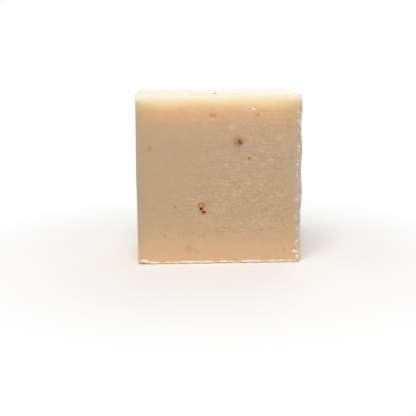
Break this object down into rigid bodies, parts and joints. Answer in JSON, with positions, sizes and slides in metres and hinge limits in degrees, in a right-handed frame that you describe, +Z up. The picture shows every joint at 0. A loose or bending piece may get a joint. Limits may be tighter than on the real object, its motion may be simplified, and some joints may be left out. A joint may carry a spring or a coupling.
{
  "type": "bar of soap",
  "caption": "Hand-cut block of cream soap with small bits of dried petal in it, standing on a narrow cut edge.",
  "frame": {"origin": "middle of the foot, the narrow cut edge that the bar stands on", "axes": "+Z up, +X across the broad faces, -Y out of the broad face that shows the petal bits"},
  "size_m": [0.0648, 0.032, 0.066],
  "materials": {
    "soap": "waxy cream soap, slightly see-through, with a cut and crumbly surface",
    "petal": "dark red-brown dried petal and husk, wetted by the soap",
    "amber": "orange-brown bits of dried petal, half buried",
    "grain": "pale cream grains, matt"
  },
  "bodies": {
    "root": {"soap_bar": "soap", "petal_flecks": "petal", "amber_specks": "amber", "pale_grains": "grain"}
  },
  "joints": []
}
